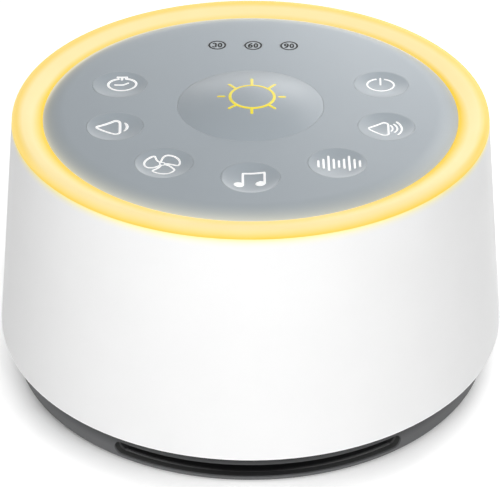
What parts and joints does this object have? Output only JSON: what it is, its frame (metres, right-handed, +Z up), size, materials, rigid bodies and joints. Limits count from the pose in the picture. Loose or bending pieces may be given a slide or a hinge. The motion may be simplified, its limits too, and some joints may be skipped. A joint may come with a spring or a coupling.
{
  "type": "white noise sound machine",
  "caption": "Round bedside sound machine: white conical shell, glowing light ring, grey top panel with dished push keys and a domed light button, dark base with a sound slot.",
  "frame": {"origin": "centre of the footprint, on the table under the feet", "axes": "+Z up, -Y towards the front with the sound slot, +Y towards the power inlet"},
  "size_m": [0.11, 0.11, 0.0613],
  "materials": {
    "shell_white": "satin",
    "ring_diffuser": "frosted",
    "panel_grey": "soft matte",
    "key_grey": "soft matte",
    "window_grey": "soft matte",
    "base_grey": "fine grain",
    "foot_rubber": "matte",
    "inner_plastic": "moulded",
    "board_green": "solder mask",
    "chip_black": "moulded",
    "led_white": "glossy",
    "connector_ivory": "moulded",
    "ribbon_grey": "satin",
    "steel": "zinc plated",
    "ferrite": "pressed",
    "cone_paper": "pulp",
    "surround_rubber": "matte",
    "spider_fabric": "woven",
    "coil_copper": "enamelled",
    "foam_black": "foam",
    "terminal_board": "phenolic",
    "wire_red": "satin",
    "capacitor_blue": "sleeved",
    "pin_brass": "polished",
    "print_white": "pad printed ink",
    "print_yellow": "pad printed ink",
    "print_grey": "pad printed ink"
  },
  "bodies": {
    "housing": {"housing_shell": "shell_white", "light_ring": "ring_diffuser", "control_panel": "panel_grey", "switch_bodies": "inner_plastic", "timer_light_pipe": "window_grey", "timer_leds": "led_white", "night_light_leds": "led_white", "control_board": "board_green", "controller_chips": "chip_black", "board_connectors": "connector_ivory", "ribbon_cable": "ribbon_grey", "panel_screws": "steel", "base_tray": "base_grey", "rubber_feet": "foot_rubber", "base_screws": "steel", "speaker_baffle": "inner_plastic", "speaker_gasket": "foam_black", "speaker_frame": "steel", "speaker_surround": "surround_rubber", "speaker_spider": "spider_fabric", "speaker_top_plate": "steel", "speaker_magnet": "ferrite", "speaker_yoke": "steel", "speaker_terminals": "terminal_board", "speaker_screws": "steel", "speaker_wires": "wire_red", "power_board": "board_green", "power_board_screws": "steel", "amplifier_chip": "chip_black", "power_capacitors": "capacitor_blue", "power_jack": "inner_plastic", "power_jack_pin": "pin_brass"},
    "timer": {"timer_key": "key_grey", "timer_plunger": "inner_plastic"},
    "volume_down": {"volume_down_key": "key_grey", "volume_down_plunger": "inner_plastic"},
    "fan_sound": {"fan_sound_key": "key_grey", "fan_sound_plunger": "inner_plastic"},
    "music": {"music_key": "key_grey", "music_plunger": "inner_plastic"},
    "white_noise": {"white_noise_key": "key_grey", "white_noise_plunger": "inner_plastic"},
    "volume_up": {"volume_up_key": "key_grey", "volume_up_plunger": "inner_plastic"},
    "power": {"power_key": "key_grey", "power_plunger": "inner_plastic"},
    "night_light": {"night_light_button": "key_grey", "night_light_plunger": "inner_plastic"},
    "cone": {"speaker_cone": "cone_paper", "speaker_dust_cap": "cone_paper", "speaker_voice_coil": "coil_copper"}
  },
  "joints": [
    {"name": "timer_press", "type": "slide", "parent": "housing", "child": "timer", "axis": [0, 0, -1], "range_m": [0, 0.0005], "stiffness_N_per_m": 2000},
    {"name": "volume_down_press", "type": "slide", "parent": "housing", "child": "volume_down", "axis": [0, 0, -1], "range_m": [0, 0.0005], "stiffness_N_per_m": 2000},
    {"name": "fan_sound_press", "type": "slide", "parent": "housing", "child": "fan_sound", "axis": [0, 0, -1], "range_m": [0, 0.0005], "stiffness_N_per_m": 2000},
    {"name": "music_press", "type": "slide", "parent": "housing", "child": "music", "axis": [0, 0, -1], "range_m": [0, 0.0005], "stiffness_N_per_m": 2000},
    {"name": "white_noise_press", "type": "slide", "parent": "housing", "child": "white_noise", "axis": [0, 0, -1], "range_m": [0, 0.0005], "stiffness_N_per_m": 2000},
    {"name": "volume_up_press", "type": "slide", "parent": "housing", "child": "volume_up", "axis": [0, 0, -1], "range_m": [0, 0.0005], "stiffness_N_per_m": 2000},
    {"name": "power_press", "type": "slide", "parent": "housing", "child": "power", "axis": [0, 0, -1], "range_m": [0, 0.0005], "stiffness_N_per_m": 2000},
    {"name": "night_light_press", "type": "slide", "parent": "housing", "child": "night_light", "axis": [0, 0, -1], "range_m": [0, 0.0005], "stiffness_N_per_m": 2000},
    {"name": "cone_travel", "type": "slide", "parent": "housing", "child": "cone", "axis": [0, 0, 1], "range_m": [-0.001, 0.001], "stiffness_N_per_m": 1500, "deforming": ["speaker_surround", "speaker_spider"]}
  ]
}
